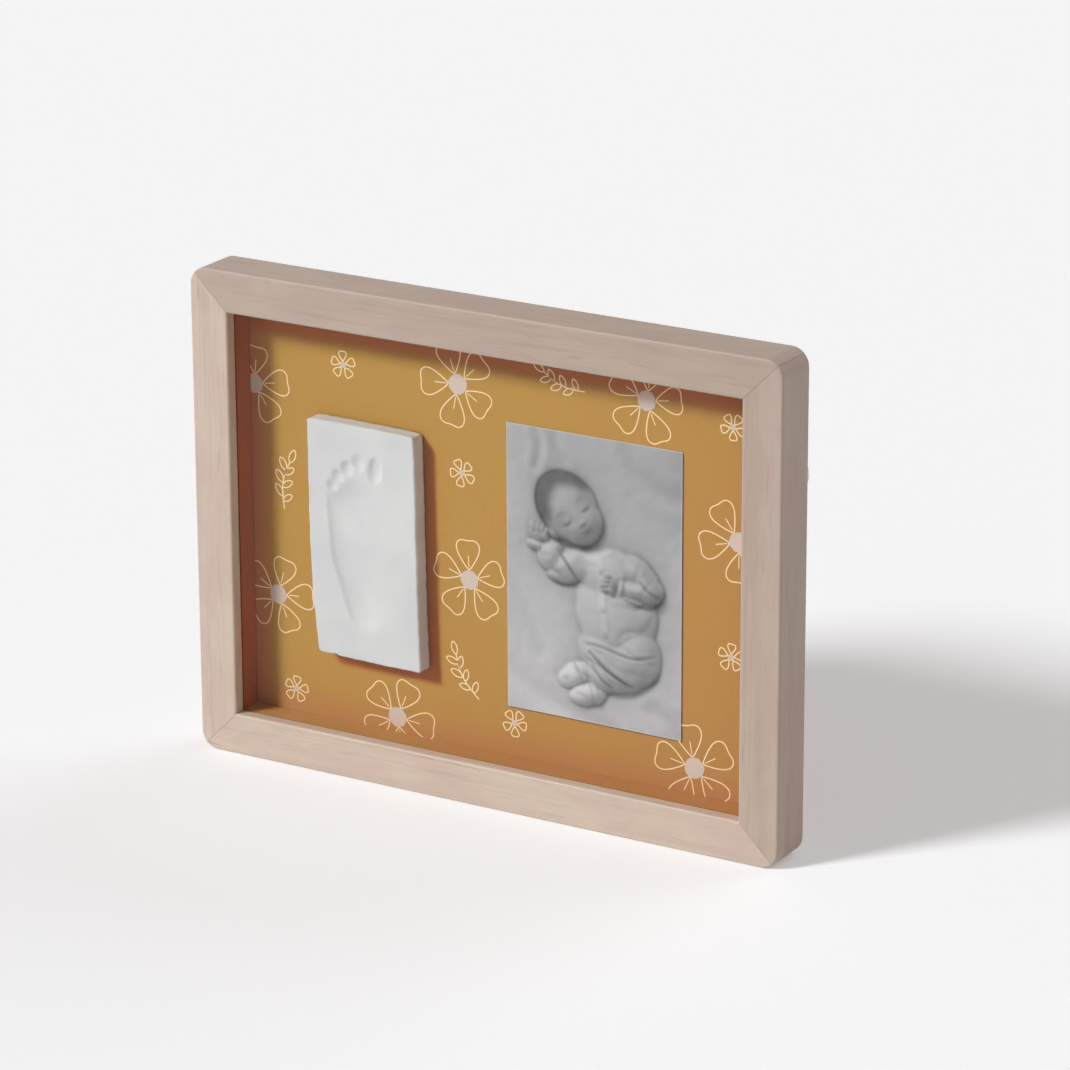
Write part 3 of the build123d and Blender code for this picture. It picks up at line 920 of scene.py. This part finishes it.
class Picture:
    """A black and white picture worked out from heights and tones, in millimetres."""

    def __init__(self, x, y, step, tone):
        self.x, self.y, self.step = x, y, step
        self.height = np.zeros(x.shape)
        self.tone = np.full(x.shape, tone)
        self.ink = np.ones(x.shape)
        self.draws = np.random.default_rng(PICTURE_SEED)

    def noise(self, size):
        return soft_noise(self.draws, self.x.shape, size / self.step)

    def local(self, place, lean):
        return local_places(place, lean, self.x, self.y)

    def swell(self, place, half, lean, rise, shade=0.0):
        """A soft rise or, below zero, a dent, that may darken the tone too."""
        across, along = self.local(place, lean)
        share = np.exp(-1.5 * ((across / half[0]) ** 2 + (along / half[1]) ** 2))
        self.height += rise * share
        self.tone *= 1 - shade * share

    def crease(self, points, width, depth, ink=0.0, within=1.0):
        """A fold along a rounded line, with a raised bank beside it."""
        away = from_line(self.x, self.y, smooth_line(points))
        self.height -= within * depth * np.exp(-(away / width) ** 2)
        self.height += within * 0.4 * depth * np.exp(-((away - 2 * width) / width) ** 2)
        self.stroke(points, 0.7 * width, within * ink)

    def stroke(self, points, width, ink):
        """A soft dark line that fades towards both ends."""
        line = smooth_line(points)
        dark = np.zeros(self.x.shape)
        for index, pair in enumerate(zip(line, line[1:])):
            full = math.sin(math.pi * (index + 0.5) / (len(line) - 1)) ** 0.7
            dark = np.maximum(dark, full * np.exp(-(from_line(self.x, self.y, pair) / width) ** 2))
        self.ink *= 1 - ink * dark

    def warped(self, size, reach):
        """The places moved a little by noise, so that outlines waver as cloth does."""
        return self.x + reach * self.noise(size), self.y + reach * self.noise(size)

    def bulge(self, parts, x, y, join=4.0):
        """The height of rounded forms that run into one another."""
        total = np.zeros(self.x.shape)
        for place, half, lean, rise, power in parts:
            across, along = local_places(place, lean, x, y)
            share = (across / half[0]) ** 2 + (along / half[1]) ** 2
            total += (rise * (1 - share).clip(0) ** power) ** join
        return total ** (1 / join)

    def lay(self, top, tone):
        """Puts a form on what lies there and hides what is lower."""
        shown = (top > PICTURE_LEAST_RISE) & (top > self.height)
        self.height = np.where(shown, top, self.height)
        self.tone = np.where(shown, tone, self.tone)
        return shown

    def wrinkles(self, lean, spacing, depth, within, wander=1.3):
        """Uneven folds of cloth that run across the lean, deep in some places and gone in others."""
        across, along = self.local((0, 0), lean)
        phase = 2 * math.pi * along / spacing + wander * self.noise(9) + 0.7 * wander * self.noise(4)
        phase += 0.05 * across
        fold = np.exp(2.2 * (np.sin(phase) - 1))
        amount = (0.5 + 0.6 * self.noise(6)).clip(0, 1.6)
        self.height -= within * depth * amount * fold
        self.ink *= 1 - 0.07 * within * (amount * fold).clip(0, 1)

    def shadow(self, height, light):
        """How deep each place lies in the shadow of what rises towards the light."""
        level = math.hypot(light[0], light[1])
        shadow = np.zeros(height.shape)
        reach = PICTURE_SHADOW_CELLS
        held = np.pad(height, reach, mode="edge")
        rows, columns = height.shape
        for far in range(2, reach, 2):
            right = reach + round(far * light[0] / level)
            up = reach + round(far * light[1] / level)
            climb = held[up:up + rows, right:right + columns] - height
            climb -= far * self.step * light[2] / level
            shadow = np.maximum(shadow, (climb / (0.4 * far * self.step + 1.5)).clip(0, 1))
        return blurred(shadow, 2.2)

    def shaded(self):
        """The grey of each place under a soft light from the upper left."""
        height = blurred(self.height, 1.0)
        slope_y, slope_x = np.gradient(height, self.step)
        ease = 1 / np.sqrt(1 + (np.hypot(slope_x, slope_y) / PICTURE_MOST_SLOPE) ** 2)
        slope_x, slope_y = slope_x * ease, slope_y * ease
        light = np.array(PICTURE_LIGHT) / np.linalg.norm(PICTURE_LIGHT)
        lit = (light[2] - slope_x * light[0] - slope_y * light[1]).clip(0)
        lit /= light[2] * np.sqrt(slope_x ** 2 + slope_y ** 2 + 1)
        lit *= 1 - PICTURE_SHADOW * self.shadow(height, light)
        hollow = sum(gain * (blurred(height, size / self.step) - height).clip(0)
                     for size, gain in PICTURE_HOLLOWS)
        share = PICTURE_ROOM_SHARE / (1 + hollow) + (1 - PICTURE_ROOM_SHARE) * lit
        return (blurred(self.tone * self.ink, 0.8) * share).clip(0, 1)


def sleeping_baby(x, y, step):
    """A newborn in plain clothes, asleep on a soft blanket."""
    blanket, weave, mottle, grain = 0.72, 0.05, 0.010, 0.004
    p = Picture(x, y, step, blanket)
    for draw in (draw_blanket, draw_booties, draw_body, draw_head, draw_hands):
        draw(p)
    p.height += weave * p.noise(1.6)
    grey = p.shaded() * (PRINT_LIGHT + PRINT_LIGHT_ACROSS * x + PRINT_LIGHT_UP * y)
    grey = blurred(grey, 0.5) * (1 + mottle * p.noise(12))
    return (grey + grain * p.noise(0.45)).clip(*PRINT_LEVELS)


def draw_blanket(p):
    p.height += 0.45 * p.noise(16) + 0.05 * p.noise(5)
    for points, width, depth in (
        (((-34, 78), (-31, 66), (-33, 55)), 2.4, 0.8),
        (((-22, 78), (-21, 67), (-18, 60)), 3.0, 0.6),
        (((18, 78), (24, 62), (38, 52), (52, 50)), 4.5, 0.8),
        (((-52, -8), (-40, -20), (-30, -42)), 4.0, 0.6),
        (((-52, -52), (-36, -62), (-10, -72), (10, -78)), 4.5, 0.7),
        (((34, -62), (44, -66), (52, -74)), 4.0, 0.7),
    ):
        p.crease(points, width, depth)


def draw_body(p):
    cloth, trousers, trim = 0.70, 0.665, 0.735
    x, y = p.warped(3.0, 0.40)
    legs = (((14, -42), (21, 15), 10, 10, 0.75), ((24, -34), (14.5, 18), 22, 11, 0.7),
            ((5, -35), (15, 13), 30, 9, 0.75), ((3, -51), (10, 7), -38, 8, 0.7))
    p.lay(p.bulge(legs, x, y), trousers)
    trunk = (((13, -14), (23.5, 27), -4, 12, 0.65), ((9, 6), (20, 13), 4, 12, 0.6),
             ((-13, 6), (15, 8.8), 28, 10.5, 0.6), ((-25, 10), (7.6, 9.0), -14, 10.5, 0.6))
    torso = p.lay(p.bulge(trunk, x, y), cloth)
    dressed = ((p.height - 3) / 4).clip(0, 1)
    lower = dressed * soft_step((-30 - p.y) / 5)
    upper = dressed * soft_step((p.y + 32) / 5)
    placket = smooth_line(((3, 16), (4, 4), (5, -12), (7, -31)))
    away = from_line(p.x, p.y, placket)
    band = soft_step((2.4 - away) / 0.6) * upper
    p.height += 0.45 * band
    p.tone += (trim - p.tone) * band
    for share in (0.30, 0.52, 0.74, 0.93):
        at = placket[int(share * (len(placket) - 1))]
        ring = np.hypot(p.x - at[0], p.y - at[1])
        p.ink *= 1 - 0.22 * np.exp(-((ring - 1.1) / 0.35) ** 2)
        p.height += 0.3 * np.exp(-(ring / 1.0) ** 4)
    p.wrinkles(14, 13.0, 0.75, upper, 2.2)
    p.wrinkles(-16, 9.0, 1.4, lower, 1.8)
    folds = (
        (((-20, 13), (-14, 5), (-8, -2)), 0.9, 1.0, 0.42),
        (((-24, 3), (-19, 0), (-15, -3)), 0.9, 0.6, 0.10),
        (((-9, -33), (6, -34), (22, -37), (35, -34)), 0.8, 0.7, 0.32),
        (((-2, -38), (8, -46), (22, -52), (32, -50)), 1.0, 1.4, 0.50),
        (((-1, -45), (6, -52), (14, -56)), 0.8, 0.9, 0.36),
    )
    for points, width, depth, ink in folds:
        p.crease(points, width, depth, ink, dressed)
    collar = smooth_line(((-13, 18), (-7, 13.5), (2, 13), (10, 18)))
    rib = soft_step((1.7 - from_line(p.x, p.y, collar)) / 0.5) * torso
    p.tone += (trim - p.tone) * rib
    p.height += 0.4 * rib
    arm = (((25, 8), (14, 8.8), -30, 15.5, 0.6), ((31, 0), (9, 8), 10, 14.5, 0.6),
           ((22, -1), (11, 6.0), -8, 14.5, 0.6))
    sleeve = p.lay(p.bulge(arm, x, y), cloth - 0.02)
    p.wrinkles(62, 9.0, 0.8, sleeve, 0.8)
    p.crease(((38, -3), (32, -1), (27, 3)), 0.9, 0.8, 0.30, sleeve)
    for line, width, ink in (
        (((17, -6.5), (26, -8.8), (34, -8.4), (39, -4)), 0.9, 0.45),
        (((6, -57.5), (20, -57.5), (32, -50.5), (38, -42)), 1.3, 0.30),
        (((-26, -1.5), (-19, -4.5), (-10, -4.0)), 1.0, 0.30),
    ):
        p.stroke(line, width, ink)


def draw_booties(p):
    """Two knitted booties, one on the other, that show below the trousers."""
    wool = 0.735
    x, y = p.warped(1.5, 0.15)
    for bootie in (((-10, -51), (11, 6.6), 30, 7.5, 0.5), ((-3, -60), (11, 6.2), 16, 8.0, 0.5)):
        shown = p.lay(p.bulge((bootie,), x, y), wool)
        across, along = p.local(bootie[0], bootie[2])
        knit = np.cos(2 * math.pi * (along + 0.25 * np.abs(across % 2.4 - 1.2)) / 1.9)
        p.height += np.where(shown, 0.16 * knit, 0)
        cuff = shown & (np.abs(across - 4.0) < 1.6)
        p.height += np.where(cuff, 0.8, 0)
        p.ink *= 1 - 0.20 * shown * np.exp(-((across - 2.2) / 0.5) ** 2)


def on_head(across, along):
    return placed(HEAD_PLACE, across, along, HEAD_LEAN)


def draw_head(p):
    skin, hair = 0.66, 0.37
    half_across, half_along = HEAD_HALF
    ear = (on_head(0.8 - half_across, -4.5), (2.9, 4.6), HEAD_LEAN + 8, 8, 0.5)
    p.lay(p.bulge((ear,), p.x, p.y), skin * 0.92)
    skull = p.bulge(((on_head(0, 2.2), (half_across, half_along - 2.2), HEAD_LEAN, 15, 0.5),
                     (on_head(1.0, -8.0), (13.2, 13.0), HEAD_LEAN, 14.0, 0.5)), p.x, p.y, 8.0)
    head = p.lay(skull + (skull > 0), skin)
    across, along = p.local(HEAD_PLACE, HEAD_LEAN)
    from_face = np.hypot((across - 1.0) / 15.5, (along + 7.0) / 21.0)
    angle = np.arctan2(along + 7.0, across - 1.0)
    streaks = np.convolve(p.draws.standard_normal(720), np.ones(3) / 3, mode="same")
    streak = np.interp(angle, np.linspace(-math.pi, math.pi, 720), streaks)
    grown = soft_step((from_face + 0.030 * streak - 0.70) / 0.42) * soft_step((along + 3) / 9)
    strands = 1 + 0.05 * streak + 0.03 * p.noise(0.7)
    p.tone = np.where(head, skin + (hair * strands - skin) * grown, p.tone)

    def face_line(middle, side, points, width, ink):
        p.stroke([on_head(middle + side * across, along) for across, along in points], width, ink)

    for side in (-1, 1):
        eye_across = FACE_MIDDLE + side * 6.8
        nostril_across = FACE_MIDDLE + side * 1.25
        for across, along, half, rise, shade in SIDE_FORMS:
            p.swell(on_head(FACE_MIDDLE + side * across, along), half, HEAD_LEAN, rise, shade)
        face_line(eye_across, 1, ((-3.2, -4.5), (-1.4, -5.45), (1.0, -5.55), (3.1, -4.6)), 0.45, 0.42)
        face_line(eye_across, side, ((-2.6, 0.2), (0.6, 1.2), (4.0, 0.4)), 0.9, 0.12)
        face_line(nostril_across, -side, ((0, -11.0), (0.3, -11.1)), 0.5, 0.30)
    for along, half, rise, shade in FACE_FORMS:
        p.swell(on_head(FACE_MIDDLE, along), half, HEAD_LEAN, rise, shade)
    lips = ((-3.3, -14.15), (-1.5, -14.5), (0, -14.7), (1.5, -14.5), (3.3, -14.15))
    face_line(FACE_MIDDLE, 1, lips, 0.42, 0.36)
    rim = [on_head(half_across * math.cos(angle), 2.2 + (half_along - 2.2) * math.sin(angle))
           for angle in np.linspace(math.radians(50), math.radians(205), 12)]
    p.stroke(rim, 0.6, 0.45)
    p.stroke(((-24, 19.5), (-15, 16.4), (-7, 15.9), (0, 17.4)), 1.1, 0.45)


def draw_hands(p):
    """Two loosely closed hands: one beside the head and one on the chest."""
    skin, cuff = 0.60, 0.69
    for place, lean, side in HANDS:
        base = p.height[np.hypot(p.x - place[0], p.y - place[1]) < 4].mean() * 0.55

        def on_hand(across, along):
            return placed(place, across, along, lean)

        p.lay(p.bulge(((on_hand(0, -6.8), (6.2, 3.0), lean, base + 8.0, 0.4),), p.x, p.y), cuff)
        fist = [(on_hand(0, -0.8), (6.0, 5.6), lean, base + 8.0, 0.4)]
        for finger in range(4):
            tip = on_hand(side * (-4.1 + 2.6 * finger), 2.4 - 0.30 * (finger - 1.4) ** 2)
            fist.append((tip, (1.8, 3.0), lean - side * 5 * (finger - 1.5), base + 8.3, 0.45))
        thumb = on_hand(side * 3.6, -1.6)
        fist.append((thumb, (1.9, 3.4), lean + side * 44, base + 8.8, 0.35))
        p.lay(p.bulge(fist, p.x, p.y, 5.0), skin)
        for gap in (-2.8, -0.2, 2.4):
            p.stroke([on_hand(side * gap, 0.8), on_hand(side * gap, 4.4)], 0.38, 0.16)
        p.stroke([on_hand(-5.6, -4.2), on_hand(0, -4.9), on_hand(5.6, -4.2)], 0.45, 0.24)
        for rib in (-3, -1, 1, 3):
            p.stroke([on_hand(rib * 1.4, -5.4), on_hand(rib * 1.55, -9.0)], 0.4, 0.08)


class Ribbons:
    """Printed lines as thin closed strips that lie on the card."""

    def __init__(self):
        self.low, self.high = (np.array(corner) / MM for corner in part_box("backing_card"))
        self.points, self.faces = [], []
        self.strips = 0

    def inside(self, point):
        return all(low + LINE_WIDTH < at < high - LINE_WIDTH
                   for at, low, high in zip(point, self.low[::2], self.high[::2]))

    def line(self, points, width=LINE_WIDTH):
        """An open line, cut where it leaves the card."""
        run = []
        for point in [*points, None]:
            if point is not None and self.inside(point):
                run.append(point)
                continue
            if len(run) > 2:
                self.strip(np.array(run), width)
            run = []

    def loop(self, points, width=LINE_WIDTH):
        """A closed line, cut where it leaves the card."""
        shown = [self.inside(point) for point in points]
        if all(shown):
            self.strip(np.array(points), width, closed=True)
            return
        first = shown.index(False)
        self.line([*points[first:], *points[:first]], width)

    def strip(self, line, width, closed=False):
        """One strip, a little thinner or thicker than the one before it, so that they cross."""
        self.strips += 1
        thickness = LINE_THICKNESS * (1 - 0.5 * (self.strips % LINE_LAYERS) / LINE_LAYERS)
        if closed:
            run = np.roll(line, -1, axis=0) - np.roll(line, 1, axis=0)
        else:
            run = np.gradient(line, axis=0)
        run /= np.linalg.norm(run, axis=1)[:, None]
        out = np.stack([-run[:, 1], run[:, 0]], axis=1) * width / 2
        rings = np.array([self.ring(line + side * out, rise * thickness)
                          for side, rise in ((1, 1), (-1, 1), (-1, 0), (1, 0))])
        for before, after in zip(rings, np.roll(rings, -1, axis=0)):
            self.faces += ring_faces(before, after, closed)
        if not closed:
            self.faces += [rings[::-1, 0].tolist(), rings[:, -1].tolist()]

    def disc(self, points):
        """A filled spot."""
        front, rear = self.ring(points, SPOT_THICKNESS), self.ring(points, 0)
        self.faces += [front.tolist(), rear[::-1].tolist(), *ring_faces(front, rear)]

    def ring(self, line, rise):
        """Adds the line's points, so high above the card, and says their numbers."""
        first = len(self.points)
        self.points += [(x * MM, (self.low[1] - rise) * MM, z * MM) for x, z in line]
        return np.arange(first, len(self.points))


def petal(place, inner, outer, half, angle, steps):
    """A broad rounded petal with a shallow dimple at its tip."""
    way = 2 * math.pi * np.arange(steps) / steps
    along = inner + (outer - inner) * (1 - np.cos(way)) / 2
    along -= PETAL_DIMPLE * outer * np.exp(-((way - math.pi) / PETAL_DIMPLE_REACH) ** 2)
    across = half * np.sin(way) * (PETAL_FULLNESS[0] + PETAL_FULLNESS[1] * np.cos(way))
    return np.stack(placed(place, along, across, angle), axis=1)


def add_blossom(lines, spots, place, radius, turned, kind, draws):
    """Petals round a filled heart, with a vein in each petal of a large blossom."""
    for number in range(PETALS):
        angle = turned + 360 / PETALS * number + draws.uniform(-kind["wander"], kind["wander"])
        outer = radius * draws.uniform(*kind["reach"])
        half = kind["half"] * radius
        lines.loop(petal(place, kind["start"] * radius, outer, half, angle, kind["steps"]))
        if kind["vein"]:
            vein = [placed(place, radius * share, 0, angle) for share in np.linspace(*kind["vein"], 8)]
            lines.line(vein, VEIN_WIDTH)
    if spots.inside(place):
        steps = kind["heart_steps"]
        ragged = 1 + draws.uniform(-HEART_RAGGED, HEART_RAGGED, steps)
        spots.disc([placed(place, kind["heart"] * radius * share, 0, 360 * step / steps)
                    for step, share in enumerate(ragged)])


def leaf(foot, length, angle, steps=26):
    """A pointed oval outline."""
    way = 2 * math.pi * np.arange(steps) / steps
    across = LEAF_HALF * length * np.sin(way) * np.abs(np.sin(way)) ** LEAF_POINT
    return np.stack(placed(foot, length * (1 - np.cos(way)) / 2, across, angle), axis=1)


def add_sprig(lines, place, length, angle, draws):
    """A bent stem with pairs of leaf outlines and one at its tip."""
    def on_stem(share):
        bend = SPRIG_BEND_SHARE * length * math.sin(math.pi * share)
        return placed(place, length * (share - 0.5), bend, angle)

    lines.line([on_stem(share) for share in np.linspace(0, SPRIG_TIP_SHARE, 30)])
    leaves = [(on_stem(LEAF_FIRST + LEAF_STEP * pair + LEAF_STAGGER * side),
               angle + side * draws.uniform(*LEAF_LEAN))
              for pair in range(LEAF_PAIRS) for side in (-1, 1)]
    leaves.append((on_stem(SPRIG_TIP_SHARE), angle + LEAF_TIP_LEAN))
    for foot, lean in leaves:
        lines.loop(leaf(foot, length * draws.uniform(*LEAF_LENGTH), lean))


def add_pattern():
    """Generic blossoms and sprigs printed in cream on the card."""
    draws = np.random.default_rng(PATTERN_SEED)
    lines, spots = Ribbons(), Ribbons()
    for blossoms, kind in ((LARGE_BLOSSOMS, LARGE_KIND), (SMALL_BLOSSOMS, SMALL_KIND)):
        for place, radius, turned in blossoms:
            add_blossom(lines, spots, place, radius, turned, kind, draws)
    for place, length, angle in SPRIGS:
        add_sprig(lines, place, length, angle, draws)
    cream = ink("cream_ink", colour(247, 222, 178), colour(238, 206, 158))
    stone = ink("stone_ink", colour(211, 194, 181), colour(200, 178, 156))
    add_piece("card_pattern_lines", lines.points, lines.faces, cream)
    add_piece("card_pattern_spots", spots.points, spots.faces, stone)


def add_floor():
    corners = [(x * FLOOR_REACH, y * FLOOR_REACH, 0) for x, y in ((-1, -1), (1, -1), (1, 1), (-1, 1))]
    add_mesh("floor", corners, [(0, 1, 2, 3)], floor_finish())


def finish_nodes():
    """Gives each of the frame's own pieces its material."""
    plated = steel("plated_steel", colour(214, 212, 207), colour(190, 186, 178), 0.50, 0.36,
                   (500, 500, 2600))
    screws = steel("screw_steel", colour(206, 204, 196), colour(168, 160, 146), 0.40, 0.28,
                   (2000, 2000, 2000))
    nails = steel("nail_steel", colour(168, 166, 162), colour(112, 104, 96), 0.50, 0.38,
                  (900, 2600, 900))
    # One lining in two copies: a darker brown one as painted shade on the top and left spacers, a lit
    # ochre one on the bottom and right
    shaded = paper("lining_shaded_copy", colour(172, 100, 74), colour(164, 92, 68),
                   colour(188, 122, 90)).material
    sunny = paper("lining_lit_copy", colour(184, 136, 76), colour(178, 124, 68),
                  colour(202, 158, 104)).material
    finishes = {
        # The top and right rails are toned darker as painted shade, with the wood darkening towards
        # the upper right
        "rail_top": wood("wood_top", False, (3.0, 1.0, 2.0), 0.895),
        "rail_bottom": wood("wood_bottom", False, (11.0, 4.0, 7.0), 0.99),
        "rail_left": wood("wood_left", True, (5.0, 9.0, 1.0), 0.985),
        "rail_right": wood("wood_right", True, (8.0, 2.0, 6.0), 0.915),
        "glass_pane": clear_glass(),
        "backing_card": card_paper(),
        "back_panel": fibreboard(),
        "clay_foam_pads": foam(),
        "photo_tape_strips": tape(),
        "corner_v_nails": nails,
        "turn_button_screws": screws,
        "hanger_screws": screws,
    }
    for side, lining in (("top", shaded), ("left", shaded), ("bottom", sunny), ("right", sunny)):
        finishes["spacer_" + side] = lining
    for name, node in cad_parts.items():
        finish = finishes.get(name, plated)
        node.data.materials.clear()
        node.data.materials.append(finish)


add_camera()
add_room()
add_sun("key", KEY_DIRECTION, KEY_STRENGTH, KEY_SPREAD)
add_sun("rear", REAR_DIRECTION, REAR_STRENGTH, REAR_SPREAD)
add_floor()
finish_nodes()
add_clay()
add_print()
add_pattern()
scene.view_settings.view_transform = "Standard"
